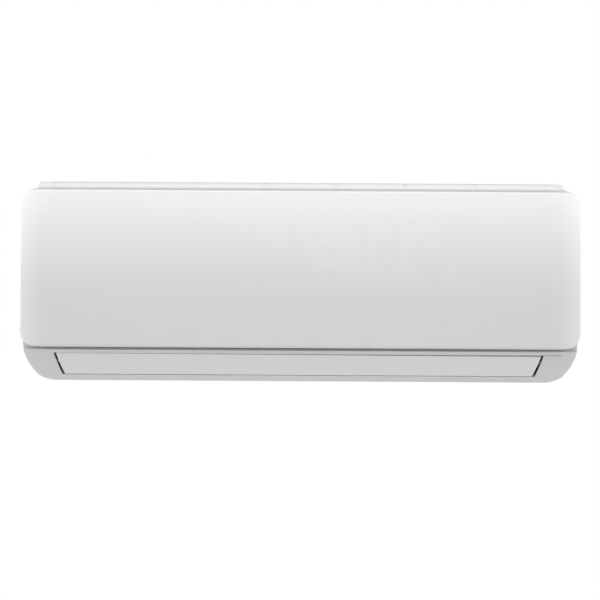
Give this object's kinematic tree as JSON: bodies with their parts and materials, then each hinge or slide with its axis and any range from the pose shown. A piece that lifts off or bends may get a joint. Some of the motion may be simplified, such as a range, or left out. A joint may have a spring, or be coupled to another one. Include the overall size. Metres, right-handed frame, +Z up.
{
  "type": "mini split indoor unit",
  "caption": "Wall-mounted air conditioner indoor unit: a curved white panel over a coil and filters, a long fan, steered vanes and a swinging outlet louvre.",
  "frame": {"origin": "on the wall, at the centre of the wall plate's four screw holes", "axes": "+X to the right seen from the room, +Y into the wall, +Z up"},
  "size_m": [0.805, 0.194, 0.286],
  "materials": {
    "panel_white": "smooth satin-gloss white moulding",
    "case_white": "fine matte white moulding",
    "chassis_white": "plain light grey moulding",
    "fan_dark": "dark grey glass-filled plastic",
    "filter_frame": "soft grey-blue plastic",
    "filter_mesh": "fine dark net",
    "vane_white": "matte light moulding",
    "foam_white": "expanded foam, skinned",
    "fin_aluminium": "thin coated fins, faintly blue",
    "steel_zinc": "zinc-coated sheet",
    "steel_shaft": "ground steel",
    "copper": "drawn copper tube, lightly dulled",
    "brass": "machined brass",
    "rubber_black": "black rubber",
    "pipe_foam": "white closed-cell tube",
    "bearing_bronze": "sintered bronze",
    "motor_case": "resin-moulded motor body",
    "board_green": "lacquered circuit board",
    "part_black": "black moulding",
    "window_smoke": "smoke-tinted window"
  },
  "bodies": {
    "unit": {"wall_plate": "steel_zinc", "rear_chassis": "chassis_white", "front_frame": "case_white", "wiring_cover": "case_white", "top_grille": "case_white", "filter_rails": "case_white", "drain_pan": "foam_white", "drain_spout": "chassis_white", "fan_bearing": "bearing_bronze", "bearing_mount": "rubber_black", "fan_motor": "motor_case", "motor_mounts": "rubber_black", "motor_cover": "chassis_white", "coil_tubes": "copper", "coil_plates": "steel_zinc", "coil_seal": "rubber_black", "gas_pipe": "copper", "liquid_pipe": "copper", "pipe_foam": "pipe_foam", "gas_union": "brass", "liquid_union": "brass", "pipe_clamp": "chassis_white", "louvre_support": "chassis_white", "louvre_motor": "motor_case", "control_box": "steel_zinc", "control_cover": "chassis_white", "circuit_board": "board_green", "terminal_block": "part_black", "display_bezel": "case_white", "signal_window": "window_smoke", "display_board": "board_green", "screw_caps": "case_white", "room_sensor": "part_black", "coil_fins_front": "fin_aluminium", "coil_fins_rear": "fin_aluminium", "vane_rails": "chassis_white"},
    "panel": {"front_panel": "panel_white"},
    "fan": {"fan_wheel": "fan_dark", "fan_shaft": "steel_shaft", "motor_shaft": "steel_shaft"},
    "louvre_blade": {"louvre": "panel_white"},
    "button": {"manual_button": "chassis_white"},
    "filter_left": {"filter_frame_left": "filter_frame", "filter_mesh_left": "filter_mesh"},
    "link_left": {"vane_link_left": "vane_white"},
    "vane_left_1": {"vane_left_1": "vane_white"},
    "vane_left_2": {"vane_left_2": "vane_white"},
    "vane_left_3": {"vane_left_3": "vane_white"},
    "vane_left_4": {"vane_left_4": "vane_white"},
    "vane_left_5": {"vane_left_5": "vane_white"},
    "vane_left_6": {"vane_left_6": "vane_white"},
    "filter_right": {"filter_frame_right": "filter_frame", "filter_mesh_right": "filter_mesh"},
    "link_right": {"vane_link_right": "vane_white"},
    "vane_right_1": {"vane_right_1": "vane_white"},
    "vane_right_2": {"vane_right_2": "vane_white"},
    "vane_right_3": {"vane_right_3": "vane_white"},
    "vane_right_4": {"vane_right_4": "vane_white"},
    "vane_right_5": {"vane_right_5": "vane_white"},
    "vane_right_6": {"vane_right_6": "vane_white"}
  },
  "joints": [
    {"name": "panel_hinge", "type": "hinge", "parent": "unit", "child": "panel", "pos_m": [0, -0.1535, 0.126], "axis": [-1, 0, 0], "range_deg": [0, 70]},
    {"name": "fan_spin", "type": "hinge", "parent": "unit", "child": "fan", "pos_m": [0, -0.08, -0.028], "axis": [1, 0, 0], "continuous": true},
    {"name": "louvre_swing", "type": "hinge", "parent": "unit", "child": "louvre_blade", "pos_m": [0, -0.14904, -0.11295], "axis": [1, 0, 0], "range_deg": [0, 70]},
    {"name": "button_press", "type": "slide", "parent": "unit", "child": "button", "axis": [0, 1, 0], "range_m": [0, 0.0012], "stiffness_N_per_m": 400},
    {"name": "filter_left_release", "type": "hinge", "parent": "unit", "child": "filter_left", "pos_m": [0, -0.023, -0.014], "axis": [-1, 0, 0], "range_deg": [0, 5]},
    {"name": "vane_left_1_swing", "type": "hinge", "parent": "unit", "child": "vane_left_1", "pos_m": [-0.057, -0.115, -0.0882], "axis": [0, 0.7469, -0.665], "range_deg": [-40, 40]},
    {"name": "vane_left_2_swing", "type": "hinge", "parent": "unit", "child": "vane_left_2", "pos_m": [-0.109, -0.115, -0.0882], "axis": [0, 0.7469, -0.665], "range_deg": [-40, 40]},
    {"name": "vane_left_3_swing", "type": "hinge", "parent": "unit", "child": "vane_left_3", "pos_m": [-0.161, -0.115, -0.0882], "axis": [0, 0.7469, -0.665], "range_deg": [-40, 40]},
    {"name": "vane_left_4_swing", "type": "hinge", "parent": "unit", "child": "vane_left_4", "pos_m": [-0.213, -0.115, -0.0882], "axis": [0, 0.7469, -0.665], "range_deg": [-40, 40]},
    {"name": "vane_left_5_swing", "type": "hinge", "parent": "unit", "child": "vane_left_5", "pos_m": [-0.265, -0.115, -0.0882], "axis": [0, 0.7469, -0.665], "range_deg": [-40, 40]},
    {"name": "vane_left_6_swing", "type": "hinge", "parent": "unit", "child": "vane_left_6", "pos_m": [-0.317, -0.115, -0.0882], "axis": [0, 0.7469, -0.665], "range_deg": [-40, 40]},
    {"name": "link_left_pivot", "type": "hinge", "parent": "vane_left_1", "child": "link_left", "pos_m": [-0.057, -0.12231, -0.09642], "axis": [0, 0.7469, -0.665], "range_deg": [-40, 40]},
    {"name": "filter_right_release", "type": "hinge", "parent": "unit", "child": "filter_right", "pos_m": [0, -0.023, -0.014], "axis": [-1, 0, 0], "range_deg": [0, 5]},
    {"name": "vane_right_1_swing", "type": "hinge", "parent": "unit", "child": "vane_right_1", "pos_m": [0.057, -0.115, -0.0882], "axis": [0, 0.7469, -0.665], "range_deg": [-40, 40]},
    {"name": "vane_right_2_swing", "type": "hinge", "parent": "unit", "child": "vane_right_2", "pos_m": [0.109, -0.115, -0.0882], "axis": [0, 0.7469, -0.665], "range_deg": [-40, 40]},
    {"name": "vane_right_3_swing", "type": "hinge", "parent": "unit", "child": "vane_right_3", "pos_m": [0.161, -0.115, -0.0882], "axis": [0, 0.7469, -0.665], "range_deg": [-40, 40]},
    {"name": "vane_right_4_swing", "type": "hinge", "parent": "unit", "child": "vane_right_4", "pos_m": [0.213, -0.115, -0.0882], "axis": [0, 0.7469, -0.665], "range_deg": [-40, 40]},
    {"name": "vane_right_5_swing", "type": "hinge", "parent": "unit", "child": "vane_right_5", "pos_m": [0.265, -0.115, -0.0882], "axis": [0, 0.7469, -0.665], "range_deg": [-40, 40]},
    {"name": "vane_right_6_swing", "type": "hinge", "parent": "unit", "child": "vane_right_6", "pos_m": [0.317, -0.115, -0.0882], "axis": [0, 0.7469, -0.665], "range_deg": [-40, 40]},
    {"name": "link_right_pivot", "type": "hinge", "parent": "vane_right_1", "child": "link_right", "pos_m": [0.057, -0.12231, -0.09642], "axis": [0, 0.7469, -0.665], "range_deg": [-40, 40]}
  ],
  "couplings": [
    {"joint": "vane_left_2_swing", "follows": "vane_left_1_swing", "ratio": 1},
    {"joint": "vane_left_3_swing", "follows": "vane_left_1_swing", "ratio": 1},
    {"joint": "vane_left_4_swing", "follows": "vane_left_1_swing", "ratio": 1},
    {"joint": "vane_left_5_swing", "follows": "vane_left_1_swing", "ratio": 1},
    {"joint": "vane_left_6_swing", "follows": "vane_left_1_swing", "ratio": 1},
    {"joint": "link_left_pivot", "follows": "vane_left_1_swing", "ratio": -1},
    {"joint": "vane_right_2_swing", "follows": "vane_right_1_swing", "ratio": 1},
    {"joint": "vane_right_3_swing", "follows": "vane_right_1_swing", "ratio": 1},
    {"joint": "vane_right_4_swing", "follows": "vane_right_1_swing", "ratio": 1},
    {"joint": "vane_right_5_swing", "follows": "vane_right_1_swing", "ratio": 1},
    {"joint": "vane_right_6_swing", "follows": "vane_right_1_swing", "ratio": 1},
    {"joint": "link_right_pivot", "follows": "vane_right_1_swing", "ratio": -1}
  ]
}
